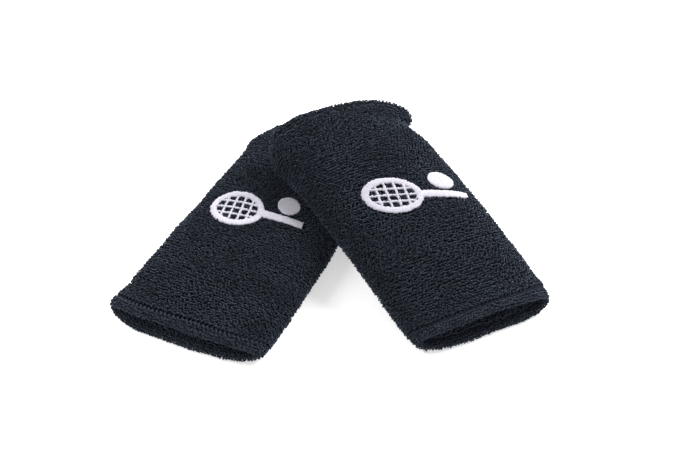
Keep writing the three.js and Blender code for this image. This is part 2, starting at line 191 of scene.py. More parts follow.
# ---- A band's shape ----
class Band:
    """One band as it lies: it turns places on the cloth into places in the pair's frame."""

    def __init__(self, sizes):
        """The solids' own sizes find how high and where the band lies. After that the
        cloth's own sizes take over at the mouth."""
        vars(self).update(sizes)
        self.body = f"{self.name}_band"
        self.lift, self.recede, self.origin = 0.0, 0.0, np.zeros(3)
        self.neck = [NECK_SHARE * flare for flare in self.mouth_flare]
        low, high = (np.array(corner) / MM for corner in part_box(self.node("outer_sleeve")))
        along, depth = np.array(PROFILE)[:, None, :].transpose(2, 0, 1)
        angle = np.arange(ROUND_STEPS) * 2 * pi / ROUND_STEPS
        flat = self.place(along, angle, depth).reshape(-1, 3) / MM
        self.lift = high[2] - flat[:, 2].max()
        self.origin = np.append(low[:2] - flat[:, :2].min(axis=0), 0.0)
        self.mouth_flare, self.neck = self.soft_flare, self.soft_neck
        self.mouth_skew, self.recede = self.soft_skew, self.soft_recede
        table = np.linspace(0, 2 * pi, 4001)
        ring = self.place(0 * table + LENGTH / 2, table, 0 * table) / MM
        steps = np.linalg.norm(np.diff(ring, axis=0), axis=1)
        self.perimeter = steps.sum()
        self.angles = table
        self.shares = np.append(0, np.cumsum(steps)) / self.perimeter

    def node(self, piece):
        """A piece's name with the band's name before it."""
        return f"{self.name}_{piece}"

    def half_wide(self, along, right):
        """Half the width at a place: the plain width, the taper and each end's flare."""
        mouth, neck = bump(along, FLARE_REACH), bump(along - NECK_AT, NECK_REACH)
        back = LENGTH - along
        fold = bump(back, FOLD_FLARE_REACH)
        fold = fold - FOLD_NECK_SHARE * bump(back - FOLD_NECK_AT, FOLD_NECK_REACH)
        flare = np.where(right, self.mouth_flare[1], self.mouth_flare[0]) * mouth
        flare = flare - np.where(right, self.neck[1], self.neck[0]) * neck
        flare = flare + np.where(right, self.fold_flare[1], self.fold_flare[0]) * fold
        return self.half_width + self.taper * along / LENGTH + flare

    def heights(self, along):
        """Heights below and above the widest line."""
        mouth, middle, fold = self.height
        whole = mouth + (middle - mouth) * ease(along / MOUTH_RUN)
        whole = whole + (fold - middle) * ease(1 - (LENGTH - along) / FOLD_RUN)
        return UNDER_SHARE * whole, (1 - UNDER_SHARE) * whole

    def settle(self, along, across, up, under, depth):
        """Moves a point of the section, across and up, to the pair's frame, in metres."""
        share = along / LENGTH
        roll = self.roll * ease((share - ROLL_START) / ROLL_RUN)
        over = across * np.cos(roll) + up * np.sin(roll)
        rolled = up * np.cos(roll) - across * np.sin(roll)
        u = across / self.half_width
        skew = (self.mouth_skew * u + self.mouth_round * u**4) * ease(1 - share)
        skew = skew + (self.fold_skew * u - self.fold_round * u**4) * ease(share)
        height = rolled + under - TABLE_PRESS + self.lift * ease(share / LIFT_RUN)
        x = over + self.bow * 4 * share * (1 - share)
        raised = np.clip(up / self.heights(along)[1], *LIP_SHARES)
        y = along + skew + self.recede * raised * (1 - ease(along / RECEDE_RUN))
        z = np.maximum(height, np.maximum(depth, 0.0))
        c, s = cos(self.turn), sin(self.turn)
        at = self.at
        placed = [at[0] + c * x - s * y, at[1] + s * x + c * y, z]
        return (np.stack(placed, axis=-1) + self.origin) * MM

    def place(self, along, angle, depth):
        """A point of the wall: along the band, round it by an angle, depth below its face."""
        under, above = self.heights(along)
        wide = self.half_wide(along, np.cos(angle) > 0) - depth
        top = np.sin(angle) > 0
        across = wide * signed_power(np.cos(angle), 2 / SIDE_POWER)
        power = np.where(top, 2 / TOP_POWER, 2 / UNDER_POWER)
        up = (np.where(top, above, under) - depth) * signed_power(np.sin(angle), power)
        return self.settle(along, across, up, under, depth)

    def across(self, along, share):
        """How far across the band a share of the way round lies, and whether on top."""
        angle = np.interp(share % 1.0, self.shares, self.angles)
        wide = self.half_wide(along, np.cos(angle) > 0)
        return wide * signed_power(np.cos(angle), 2 / SIDE_POWER), np.sin(angle) > 0

    def relief(self, path, share):
        """How far the cloth swells outward: broad soft waves and finer lumps of pile. On the
        outer face the seam pulls it in, and a crease runs beside the fold."""
        along = skin_path(path, 0.0)[0]
        back = LENGTH - along
        swell = BROAD_SWELL * drift(self.seed, along, share, BROAD_CELL)
        swell = swell + FINE_SWELL * drift(self.seed + 1, along, share, FINE_CELL)
        crease = FOLD_RIDGE * bump(back - FOLD_RIDGE_BACK, FOLD_LINE)
        crease = crease - FOLD_DIP * bump(back - FOLD_DIP_BACK, FOLD_LINE)
        crease = crease - self.dip * bump(along - SEAM_AT, SEAM_DIP_REACH)
        return swell + np.where(path % SKIN_LENGTH < STRAIGHT, crease, 0.0)

    def skin(self, path, share, out=0.0):
        """A point of the ground knit or out from it, by its place on the skin's closed path
        and its share of the way round the band."""
        angle = np.interp(share % 1.0, self.shares, self.angles)
        along, depth = skin_path(path, out + self.relief(path, share) - PILE_SINK)
        depth = depth * (1 - self.thin * (1 - ease(along / THIN_RUN)))
        return self.place(along, angle, depth)

    def frames(self, path, share):
        """Places on the skin with their unit vectors: round, along the path and outward."""
        step = 0.12
        path, share = np.broadcast_arrays(path, share)
        d = step / self.perimeter
        at = self.skin(path, share)
        along = unit(self.skin(path + step, share) - self.skin(path - step, share))
        round_it = self.skin(path, share + d) - self.skin(path, share - d)
        outward = unit(np.cross(along, round_it))
        return at, unit(np.cross(outward, along)), along, outward

    def on_top(self, along, across, out):
        """A point of the upper face, by its distances along, across and out from it."""
        under, above = self.heights(along)
        wide = self.half_wide(along, across > 0) + out
        reach = np.minimum(np.abs(across) / wide, 1)
        up = (above + out) * (1 - reach**SIDE_POWER) ** (1 / TOP_POWER)
        return self.settle(along, across, up, under, -out)


def skin_path(path, out):
    """Place along the band and depth for a distance on the skin's closed path, and out from
    it: a straight outer face, a half circle round the fold, the lining, and a half circle
    round the mouth."""
    path, out = np.broadcast_arrays(path % SKIN_LENGTH, out)
    fold = np.clip((path - STRAIGHT) / NOSE, 0, pi)
    mouth = np.clip((path - 2 * STRAIGHT - ARC) / NOSE, 0, pi)
    on_outer = np.clip(path, 0, STRAIGHT)
    on_lining = np.clip(path - STRAIGHT - ARC, 0, STRAIGHT)
    reach = NOSE + out
    along = NOSE + on_outer - on_lining + reach * (np.sin(fold) - np.sin(mouth))
    depth = NOSE - reach * np.cos(fold)
    return along, np.where(mouth > 0, NOSE + reach * np.cos(mouth), depth)


# ---- Meshes ----
def grid_faces(rows, columns, wrap_rows=True):
    """Four-sided faces between neighbours on a grid of points whose columns close on
    themselves, and whose rows do where they wrap. They face along the cross product of the
    rows' way and the columns' way."""
    i, j = np.indices((rows - (not wrap_rows), columns)).reshape(2, -1)
    k, m = (i + 1) % rows, (j + 1) % columns
    return np.stack([i * columns + j, k * columns + j, k * columns + m, i * columns + m], 1)


def joined(shapes):
    """Several shapes, each its points and its lists of faces, as one shape."""
    starts = np.cumsum([0] + [len(points) for points, _ in shapes])
    faces = [part + start for (_, parts), start in zip(shapes, starts) for part in parts]
    return np.concatenate([points for points, _ in shapes]), faces


def make_piece(name, band, shape, material):
    """A mesh of its band's name and its own, in a finish, that rides on the band's body."""
    name = band.node(name)
    points, faces = shape
    points = points.copy()
    points[:, 2] = np.maximum(points[:, 2], TABLE_GAP * MM)
    sides = np.concatenate([np.full(len(part), part.shape[1]) for part in faces])
    corners = np.concatenate([part.ravel() for part in faces]).astype(np.int32)
    mesh = bpy.data.meshes.new(name)
    mesh.vertices.add(len(points))
    mesh.vertices.foreach_set("co", points.astype(np.float32).ravel())
    mesh.loops.add(len(corners))
    mesh.loops.foreach_set("vertex_index", corners)
    mesh.polygons.add(len(sides))
    starts = np.append(0, np.cumsum(sides)[:-1]).astype(np.int32)
    mesh.polygons.foreach_set("loop_start", starts)
    mesh.update(calc_edges=True)
    mesh.shade_smooth()
    mesh.materials.append(material)
    piece = bpy.data.objects.new(name, mesh)
    bpy.context.scene.collection.objects.link(piece)
    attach(piece, band.body)
    return piece


def tubes(paths, radius, reference, sides=3, closed=False):
    """Thin tubes round many paths: at each point a ring of the given radius, square to the
    path, set out from a reference direction that the path never runs along."""
    count, steps = paths.shape[:2]
    if closed:
        along = unit(np.roll(paths, -1, axis=1) - np.roll(paths, 1, axis=1))
    else:
        along = unit(np.gradient(paths, axis=1))
    side = unit(np.cross(along, reference))
    lift = np.cross(side, along)
    turn = np.arange(sides) * 2 * pi / sides
    ring = side[:, :, None] * np.cos(turn)[:, None] + lift[:, :, None] * np.sin(turn)[:, None]
    reach = np.broadcast_to(radius, (count, steps))[:, :, None, None] * MM
    points = (paths[:, :, None] + reach * ring).reshape(-1, 3)
    parts = [grid_faces(steps, sides, closed)]
    if not closed:
        ends = np.arange(sides)
        parts.append(np.stack([ends, (steps - 1) * sides + ends[::-1]]))
    starts = np.arange(count)[:, None, None] * steps * sides
    return points, [(starts + part).reshape(-1, part.shape[1]) for part in parts]


# ---- Materials ----
class Value:
    """A node's output that takes part in sums: each sum adds its Math node."""

    def __init__(self, made, socket):
        self.made, self.socket = made, socket

    def math(self, operation, first, second):
        """One Math node."""
        return self.made.node("ShaderNodeMath", {"operation": operation}, {0: first, 1: second})

    def __add__(self, other):
        return self.math("ADD", self, other)

    def __radd__(self, other):
        return self.math("ADD", other, self)

    def __sub__(self, other):
        return self.math("SUBTRACT", self, other)

    def __rsub__(self, other):
        return self.math("SUBTRACT", other, self)

    def __mul__(self, other):
        return self.math("MULTIPLY", self, other)

    def __rmul__(self, other):
        return self.math("MULTIPLY", other, self)


class Finish:
    """A material, or the studio round the object, made node by node."""

    def __init__(self, name, kind=bpy.data.materials):
        self.made = kind.new(name)
        self.made.use_nodes = True
        self.tree = self.made.node_tree
        self.tree.nodes.clear()

    def node(self, kind, settings=None, inputs=None, output=0):
        """Adds a node: its settings first, then the values or links of its sockets."""
        node = self.tree.nodes.new(kind)
        for key, value in (settings or {}).items():
            setattr(node, key, value)
        for key, value in (inputs or {}).items():
            if isinstance(value, Value):
                self.tree.links.new(value.socket, node.inputs[key])
            else:
                node.inputs[key].default_value = value
        return Value(self, node.outputs[output]) if node.outputs else None

    def place(self):
        """Where a point is on a piece, or which way the studio is seen."""
        return self.node("ShaderNodeTexCoord", output="Object")

    def noise(self, size, detail):
        """Smooth random values, 0 to 1, in lumps of a size given in millimetres."""
        sockets = {"Vector": self.place(), "Scale": 1 / (size * MM), "Detail": detail}
        return self.node("ShaderNodeTexNoise", None, sockets)

    def blend(self, factor, first, second):
        """One colour turning into another."""
        sockets = {0: factor, 6: (*first, 1.0), 7: (*second, 1.0)}
        return self.node("ShaderNodeMix", {"data_type": "RGBA"}, sockets, 2)

    def bump(self, height, strength, distance):
        """A surface that a height raises by up to a distance in millimetres."""
        sockets = {"Height": height, "Strength": strength, "Distance": distance * MM}
        return self.node("ShaderNodeBump", None, sockets, "Normal")

    def shade(self, **inputs):
        """Finishes the material with one Principled shader."""
        sockets = {key.replace("_", " "): value for key, value in inputs.items()}
        shader = self.node("ShaderNodeBsdfPrincipled", None, sockets)
        self.node("ShaderNodeOutputMaterial", None, {"Surface": shader})
        return self.made


NAVY_SHEEN, WHITE_SHEEN = (0.55, 0.72, 1.0, 1.0), (0.92, 0.94, 1.0, 1.0)


def terry_finish(name, dark, light, sheen):
    """Looped cotton: each loop a little lighter or darker than its neighbours, in broader
    drifts of painted sheen and shade, as where the pile lies another way, with fine
    fibres on the yarn."""
    made = Finish(name)
    loops = made.noise(1.2, 1.0)
    # Broad random drifts of painted sheen and shade, as of pile that lies another way.
    drifts = made.noise(14.0, 3.0)
    fibres = made.noise(0.16, 2.0)
    tone = loops * 1.6 + drifts * 0.8 - 0.75
    return made.shade(
        Base_Color=made.blend(tone, dark, light),
        Roughness=0.82 + fibres * 0.16,
        Normal=made.bump(fibres, 0.6, 0.08),
        Specular_IOR_Level=0.25,
        Sheen_Weight=sheen,
        Sheen_Roughness=0.45,
        Sheen_Tint=NAVY_SHEEN,
    )


def thread_finish(name, dark, light, sheen, tint, gloss):
    """Spun or satin thread: fine fibres, and colour that varies along the stitches."""
    made = Finish(name)
    stitches = made.noise(0.9, 3.0)
    fibres = made.noise(0.12, 2.0)
    return made.shade(
        Base_Color=made.blend(stitches * 1.6 - 0.3, dark, light),
        Roughness=gloss + fibres * 0.2,
        Normal=made.bump(fibres, 0.35, 0.05),
        Specular_IOR_Level=0.25,
        Sheen_Weight=sheen,
        Sheen_Roughness=0.45,
        Sheen_Tint=tint,
    )


def plain_finish(name, low, high, size):
    """A matte, slightly uneven surface."""
    made = Finish(name)
    grain = made.noise(size, 3.0)
    return made.shade(
        Base_Color=made.blend(grain, low, high),
        Roughness=0.75 + grain * 0.15,
        Normal=made.bump(grain, 0.4, 0.06),
    )


terry = terry_finish("terry_loops", (0.002, 0.003, 0.006), (0.018, 0.022, 0.034), 0.31)
# The ground knit's colour is painted darker than the loops': painted shade in the gaps between
# the loops.
ground = terry_finish("terry_ground_painted_shade", (0.002, 0.002, 0.004), (0.006, 0.007, 0.010), 0.03)
# The lining is the same terry as the outer face, painted lighter: painted light on the shaded
# inside of the mouth.
lining = terry_finish("lining_loops", (0.007, 0.008, 0.014), (0.042, 0.048, 0.068), 0.45)
knit = terry_finish("welt_knit", (0.003, 0.004, 0.008), (0.019, 0.023, 0.035), 0.32)
dark_thread = thread_finish(
    "seam_thread", (0.003, 0.004, 0.008), (0.016, 0.020, 0.032), 0.2, NAVY_SHEEN, 0.7
)
white_thread = thread_finish(
    "satin_thread", (0.44, 0.43, 0.50), (0.66, 0.64, 0.71), 0.1, WHITE_SHEEN, 0.65
)
covered_yarn = plain_finish("covered_yarn", (0.02, 0.02, 0.025), (0.05, 0.05, 0.055), 0.3)
nonwoven = plain_finish("nonwoven", (0.62, 0.62, 0.60), (0.78, 0.78, 0.75), 0.8)


# ---- The ground knit ----
GROUND_THICKNESS = 0.5
GROUND_ROWS, GROUND_COLUMNS = 100, 180


def sleeve(band, start, end):
    """A stretch of the skin as a closed shell: its outer face from start to end along the
    skin's path, and back again a wall's thickness inside."""
    path = np.linspace(start, end, GROUND_ROWS)
    profile = np.concatenate([path, path[::-1]])[:, None]
    out = np.repeat([0.0, -GROUND_THICKNESS], GROUND_ROWS)[:, None]
    share = np.arange(GROUND_COLUMNS)[None] / GROUND_COLUMNS
    points = band.skin(profile, share, out).reshape(-1, 3)
    return points, [grid_faces(2 * GROUND_ROWS, GROUND_COLUMNS)]


# ---- The pile ----
ALONG_SCATTER, ROUND_SCATTER = 0.18, 0.2  # shares of a pitch
SEED_STEP = 100
SEEDS = dict(fold=4, lining=5, welt=6, stray=8)  # the outer face's stretches take 0, 1, 2


def pile(band, start, end, size, seed):
    """Where a stretch of skin carries its loops, as places on the path and shares round it:
    staggered rows across the band, each loop a little off its place."""
    rows = round((end - start) / size["along"])
    columns = round(band.perimeter / size["round"])
    rng = np.random.default_rng(band.seed * SEED_STEP + seed)
    i, j = np.indices((rows, columns))
    off_along = rng.uniform(-ALONG_SCATTER, ALONG_SCATTER, i.shape)
    off_round = rng.uniform(-ROUND_SCATTER, ROUND_SCATTER, i.shape)
    path = start + (i + 0.5 + off_along) * (end - start) / rows
    share = (j + 0.5 * (i % 2) + off_round) / columns
    return path.ravel(), share.ravel(), rng


ARCH_STEPS, ARCH_SIDES = 6, 4
LOOP_YAW, WILD_YAW, WILD_CELL = 0.2, 1.1, 15.0
PILE_LEAN, LEAN_CELL, LOOP_LEAN = 0.7, 11.0, 0.35
HEIGHT_SPREAD, WIDTH_SPREAD = (0.75, 1.2), (0.85, 1.15)


def loops(band, path, share, size, rng):
    """Loops of yarn on the skin, each half an ellipse: from foot to foot it goes half the
    width times minus the cosine, and up by the height times the sine. Loops turn more where
    the pile is wild and lean the way it is brushed. Where the bands cross, a loop is only as
    high as the room to the other band allows."""
    at, round_it, along, outward = band.frames(path, share)
    place = skin_path(path, 0.0)[0]
    wild = 0.5 + 0.5 * drift(band.seed + 5, place, share, WILD_CELL)
    yaw = (LOOP_YAW + WILD_YAW * wild**2) * rng.uniform(-1, 1, path.shape)
    way = np.cos(yaw)[:, None] * round_it + np.sin(yaw)[:, None] * along
    lean_along = PILE_LEAN * drift(band.seed + 6, place, share, LEAN_CELL)
    lean_round = PILE_LEAN * drift(band.seed + 7, place, share, LEAN_CELL)
    lean_along = (lean_along + rng.uniform(-LOOP_LEAN, LOOP_LEAN, path.shape))[:, None]
    lean_round = (lean_round + rng.uniform(-LOOP_LEAN, LOOP_LEAN, path.shape))[:, None]
    tip = outward + lean_along * along + lean_round * round_it
    height = size["height"] * rng.uniform(*HEIGHT_SPREAD, path.shape)
    height = np.minimum(height, room_at(band, at, outward))
    width = size["width"] * rng.uniform(*WIDTH_SPREAD, path.shape)
    turn = np.linspace(0, pi, ARCH_STEPS)[None, :, None]
    arch = -np.cos(turn) * (width / 2 * MM)[:, None, None] * way[:, None]
    arch = arch + np.sin(turn) * (height * MM)[:, None, None] * tip[:, None]
    reference = np.broadcast_to(np.cross(way, tip)[:, None], (len(path), ARCH_STEPS, 3))
    radius = size["radius"] * rng.uniform(*WIDTH_SPREAD, (len(path), 1))
    return tubes(at[:, None] + arch, radius, reference, ARCH_SIDES)


# ---- Room between the bands where they cross ----
CELL, CELLS = 2.0, 120  # a square map's cells: their size, and how many each way
MAP_STEPS = (400, 600)  # along and round a band
FACING = 0.2  # how far up or down a place looks towards the other band
SHORTEST_ROOM, PLENTY = 0.15, 10.0


def height_map(band, top):
    """The highest ground of a band's upper face in each cell of the map, or the lowest of
    its underside."""
    path = np.linspace(0, STRAIGHT, MAP_STEPS[0])[:, None]
    share = np.linspace(0, 1, MAP_STEPS[1], endpoint=False)[None]
    _, above = band.across(skin_path(path, 0.0)[0], share + 0 * path)
    points = band.skin(path, share) / MM
    cells = cell_of(points)
    chosen = above == top
    level = np.full((CELLS, CELLS), -np.inf if top else np.inf)
    spread = np.maximum if top else np.minimum
    spread.at(level, (cells[0][chosen], cells[1][chosen]), points[..., 2][chosen])
    return level


def cell_of(points):
    """The map's cell for each point, which is given in millimetres."""
    return [
        np.clip(points[..., k] / CELL + CELLS / 2, 0, CELLS - 1).astype(int) for k in (0, 1)
    ]


def room_at(band, at, outward):
    """Half the gap to the other band over or under each place, less a little, and plenty
    elsewhere."""
    row, column = cell_of(at / MM)
    gap = np.maximum(0.5 * crossing_gap[row, column] - SHORTEST_ROOM, SHORTEST_ROOM)
    towards = 1 if band.name == "lower" else -1
    faces_other = towards * outward[:, 2] > FACING
    return np.where(faces_other & np.isfinite(gap), gap, PLENTY)


lower, upper = Band(LOWER), Band(UPPER)
with np.errstate(invalid="ignore"):
    crossing_gap = height_map(upper, False) - height_map(lower, True)


# ---- The embroidery ----
SATIN_ROUND = 12
SATIN_SIDE, SATIN_CROWN = 0.8, 0.45  # the powers that square off a bar's section
STITCH_UNDER = 0.2
THREAD_STEPS = 3
THREAD_RIDGE = 0.2
RAGGED = 0.26
STRING_INTO = 0.3  # how far a string runs on under the hoop
LEAST_SQUARE = 0.02  # of half a stitch, so that the ball's end stitches keep some length


def satin(band, middle, half, closed, seed):
    """Satin stitches along a flat line: a low rounded bar whose section goes across by half
    the width times the cosine and up by the height times the sine, rising and falling once
    for each thread, with each thread a little longer or shorter at its ends."""
    steps = len(middle)
    if closed:
        ahead = np.roll(middle, -1, axis=0) - np.roll(middle, 1, axis=0)
    else:
        ahead = np.gradient(middle, axis=0)
    ahead = unit(ahead)
    square = np.stack([ahead[:, 1], -ahead[:, 0]], axis=1)
    rng = np.random.default_rng(seed)
    thread = np.arange(steps) // THREAD_STEPS
    longer = rng.uniform(-RAGGED, RAGGED, (2, thread[-1] + 1))[:, thread]
    ridge = np.sin(pi * (np.arange(steps) % THREAD_STEPS + 0.5) / THREAD_STEPS)
    turn = np.arange(SATIN_ROUND) * 2 * pi / SATIN_ROUND
    side = np.where(np.cos(turn)[None] > 0, longer[0][:, None], longer[1][:, None])
    reach = signed_power(np.cos(turn), SATIN_SIDE)[None] * (half[:, None] + side)
    flat = middle[:, None] + square[:, None] * reach[..., None]
    crown = np.where(np.sin(turn) > 0, STITCH_HEIGHT, STITCH_UNDER)
    crown = crown * signed_power(np.sin(turn), SATIN_CROWN)
    out = CLEARANCE + crown[None] * (1 - THREAD_RIDGE + THREAD_RIDGE * ridge[:, None])
    points = stitch_place(band, flat, out).reshape(-1, 3)
    faces = [grid_faces(steps, SATIN_ROUND, closed)]
    if not closed:
        ends = np.arange(SATIN_ROUND)
        faces.append(np.stack([ends, (steps - 1) * SATIN_ROUND + ends[::-1]]))
    return points, faces


def stitch_place(band, flat, out):
    """Lays a flat place of the emblem on its band's upper face."""
    c, s = cos(band.emblem["turn"]), sin(band.emblem["turn"])
    across = band.emblem["across"] + c * flat[..., 0] - s * flat[..., 1]
    along = band.emblem["along"] + s * flat[..., 0] + c * flat[..., 1]
    return band.on_top(along, across, out)


def evenly(start, end, half):
    """A straight line of stitches between two flat places, all of one half width."""
    start, end = np.array(start, float), np.array(end, float)
    count = THREAD_STEPS * round(np.linalg.norm(end - start) / STITCH_PITCH)
    share = np.linspace(0, 1, count)[:, None]
    return start + (end - start) * share, np.full(count, half), False


def hoop():
    """An ellipse of stitches, whose place is the cosine and sine of its angle."""
    long, short = (HOOP[key] - HOOP["width"] / 2 for key in ("long", "short"))
    count = THREAD_STEPS * round(pi * (long + short) / STITCH_PITCH)
    turn = np.arange(count) * -2 * pi / count
    middle = np.stack([HOOP["x"] + long * np.cos(turn), short * np.sin(turn)], axis=1)
    return middle, np.full(count, HOOP["width"] / 2), True


def handle():
    """A straight bar that starts a little way into the hoop."""
    start = HOOP["x"] + HOOP["long"] - HANDLE["into"]
    return evenly((start, 0), (start + HANDLE["length"], 0), HANDLE["width"] / 2)


def strings():
    """Thin stitched lines both ways inside the hoop, each as long as the opening there."""
    long, short = (HOOP[key] - HOOP["width"] + STRING_INTO for key in ("long", "short"))
    lines = []
    for count, reach, span, lengthways in (
        (STRINGS_ALONG, short, long, True),
        (STRINGS_ACROSS, long, short, False),
    ):
        for i in range(count):
            offset = reach * (2 * (i + 1) / (count + 1) - 1)
            half = span * sqrt(1 - (offset / reach) ** 2)
            ends = [(-half, offset), (half, offset)]
            if not lengthways:
                ends = [(offset, -half), (offset, half)]
            ends = [(HOOP["x"] + x, y) for x, y in ends]
            lines.append(evenly(*ends, STRING_WIDTH / 2))
    return lines


def ball():
    """Stitches side by side across a disc, each as long as the disc's chord there."""
    radius = BALL["radius"]
    middle, half, closed = evenly((-radius, 0), (radius, 0), radius)
    half = np.sqrt(np.maximum(radius**2 - middle[:, 0] ** 2, LEAST_SQUARE))
    return middle + np.array([BALL["x"], BALL["y"]]), half, closed


RACKET, STRINGS = [hoop(), handle()], strings()
EMBLEM = {"racket": RACKET, "strings": STRINGS, "ball": [ball()]}
DISC = (np.array([[BALL["x"], BALL["y"]]]), np.array([BALL["radius"]]), True)
STITCH_MARGIN = 0.1


def under_stitches(band, path, share):
    """Which places of the skin the embroidery covers."""
    along = skin_path(path, 0.0)[0]
    across, top = band.across(along, share)
    x, y = across - band.emblem["across"], along - band.emblem["along"]
    c, s = cos(band.emblem["turn"]), sin(band.emblem["turn"])
    flat = np.stack([c * x + s * y, c * y - s * x], axis=1)
    reach = (BACKING["across"] / 2, BACKING["along"] / 2)
    near = top & (np.abs(flat) < reach).all(axis=1) & (path % SKIN_LENGTH < STRAIGHT)
    covered = np.zeros(len(path), bool)
    for middle, half, _ in [*RACKET, *STRINGS, DISC]:
        gap = np.linalg.norm(flat[near, None] - middle[None], axis=2) - half
        covered[near] |= (gap < STITCH_MARGIN).any(axis=1)
    return covered


# ---- The welt and the seam ----
WELT_ROWS, WELT_COLUMNS = 36, 3 * GROUND_COLUMNS
WALE_PITCH, WALE_RISE = 1.3, 0.12
CHAIN = dict(pitch=1.55, reach=0.62, across=0.42, out=0.42, tilt=0.16, radius=0.17)
CHAIN_STEPS, CHAIN_SIDES = 12, 5
COVER_PITCH = 1.9
COVER_ROWS = [(-3.0, 2.8, 0.5), (-0.2, 2.3, -0.4)]  # start, reach and lean of each row
COVER_STEPS, COVER_SIDES = 7, 6
COVER_OUT, COVER_RISE = 0.3, 0.65
COVER_ENDS = 0.6  # how thick a covering stitch is at its ends, as a share


def welt(band):
    """The turned edge: the skin round the mouth, with a rib over each knitted wale, whose
    height is the cosine of the way round."""
    path = np.linspace(WELT_BACK, SKIN_LENGTH + WELT_SIDE, WELT_ROWS)
    profile = np.concatenate([path, path[::-1]])[:, None]
    share = np.arange(WELT_COLUMNS)[None] / WELT_COLUMNS
    rib = WALE_RISE * np.cos(2 * pi * share * round(band.perimeter / WALE_PITCH))
    outside = np.arange(2 * WELT_ROWS)[:, None] < WELT_ROWS
    out = np.where(outside, rib, -GROUND_THICKNESS)
    points = band.skin(profile, share, out).reshape(-1, 3)
    return points, [grid_faces(2 * WELT_ROWS, WELT_COLUMNS)]


def chain(band):
    """The seam's chain stitches: closed rings of thread in the groove, each reaching into
    the one before. A ring goes round the band and a little outward by the cosine of its
    turn, and across the groove by the sine."""
    count = int(band.perimeter / CHAIN["pitch"])
    turn = (np.arange(CHAIN_STEPS) * 2 * pi / CHAIN_STEPS)[None]
    share = (np.arange(count)[:, None] + 0.5 + CHAIN["reach"] * np.cos(turn)) / count
    path = SEAM_SIDE - CLEARANCE / 2 + CHAIN["across"] * np.sin(turn) + 0 * share
    out = CHAIN["out"] + CHAIN["tilt"] * np.cos(turn) + 0 * share
    upright = np.array([0.0, 0.0, 1.0])
    return tubes(band.skin(path, share, out), CHAIN["radius"], upright, CHAIN_SIDES, True)


def slanted(band):
    """Covering stitches: two rows of threads side by side that lean opposite ways, so that
    each pair makes a chevron. A thread's share goes evenly from one lean to the other and
    it rises by the sine in between."""
    count = round(band.perimeter / COVER_PITCH)
    t = np.linspace(0, 1, COVER_STEPS)[None]
    index = np.arange(count)[:, None]
    rows = []
    for start, reach, lean in COVER_ROWS:
        share = (index + 0.5 + lean * (2 * t - 1)) / count
        path = SEAM_SIDE + start + reach * t + 0 * share
        out = COVER_OUT + COVER_RISE * np.sin(pi * t) + 0 * share
        outward = band.frames(path, share)[3]
        radius = band.cover * (COVER_ENDS + (1 - COVER_ENDS) * np.sin(pi * t))
        rows.append(tubes(band.skin(path, share, out), radius, outward, COVER_SIDES))
    return joined(rows)


# ---- Stray fibres and yarn ends ----
STRAY = dict(count=2500, length=1.8, radius=0.06)
ENDS = dict(count=34, length=2.6, radius=0.2)
ENDS_SEED, ENDS_SPREAD = 900, 0.03
FIBRE_STEPS = 5
FIBRE_SPREAD = (0.5, 1.2)
FIBRE_DROOP, FIBRE_BEND, FIBRE_TAPER = 0.35, 0.8, 0.6


def bent(band, path, share, rng, size):
    """Fibres from places on the skin, thinner towards their ends. With t from 0 to 1, each
    goes outward by its length times t less a share of t squared, as far as there is room,
    and over to one side by its length times a share of t squared."""
    at, round_it, along, outward = band.frames(path, share)
    count = len(path)
    t = np.linspace(0, 1, FIBRE_STEPS)[None, :, None]
    turn = rng.uniform(0, 2 * pi, (count, 1))
    over = np.cos(turn) * round_it + np.sin(turn) * along
    reach = (size["length"] * rng.uniform(*FIBRE_SPREAD, count) * MM)[:, None, None]
    room = (room_at(band, at, outward) * MM)[:, None, None]
    up = np.minimum(reach * (t - FIBRE_DROOP * t * t), room)
    line = at[:, None] + up * outward[:, None] + reach * FIBRE_BEND * t * t * over[:, None]
    reference = np.broadcast_to(np.cross(over, outward)[:, None], line.shape)
    return tubes(line, size["radius"] * (1 - FIBRE_TAPER * t[..., 0]), reference)


def stray_fibres(band):
    """Fine fibres that have worked loose all over the outer face and the fold."""
    rng = np.random.default_rng(band.seed * SEED_STEP + SEEDS["stray"])
    path = rng.uniform(SEAM_SIDE, STRAIGHT + ARC, STRAY["count"])
    share = rng.uniform(0, 1, STRAY["count"])
    return bent(band, path, share, rng, STRAY)


def loose_ends(band):
    """Cut yarn ends that stick out of the welt at the band's left side."""
    rng = np.random.default_rng(band.seed + ENDS_SEED)
    left = np.interp(pi, band.angles, band.shares)
    share = left + rng.normal(0, ENDS_SPREAD, ENDS["count"])
    path = SKIN_LENGTH + rng.uniform(-ARC, WELT_SIDE, ENDS["count"])
    return bent(band, path, share, rng, ENDS)


# ---- What lies between the layers ----
YARN_STEPS, YARN_SIDES = 96, 8
WIND_DEPTH, WIND_TURN = 0.06, 2.1
BACKING_ROWS, BACKING_COLUMNS = 35, 24
EDGE_POWER = 0.5  # draws the sheet's columns out to its edges


def elastic(band):
    """The elastic yarn: a helix between the layers, its radius rippling by a cosine where
    the cover thread winds round it."""
    steps = YARN_STEPS * YARN_TURNS
    t = np.linspace(0, 1, steps)
    reach = LENGTH - 2 * YARN_END_MARGIN
    angle = 2 * pi * YARN_TURNS * t
    line = band.place(YARN_END_MARGIN + reach * t, angle, 0 * t + YARN_DEPTH)[None]
    ripple = WIND_DEPTH * np.cos(np.arange(steps) * WIND_TURN)
    radius = YARN_RADIUS * (1 - WIND_DEPTH + ripple)[None]
    direction = np.array([-sin(band.turn), cos(band.turn), 0.0])
    return tubes(line, radius, direction, YARN_SIDES)


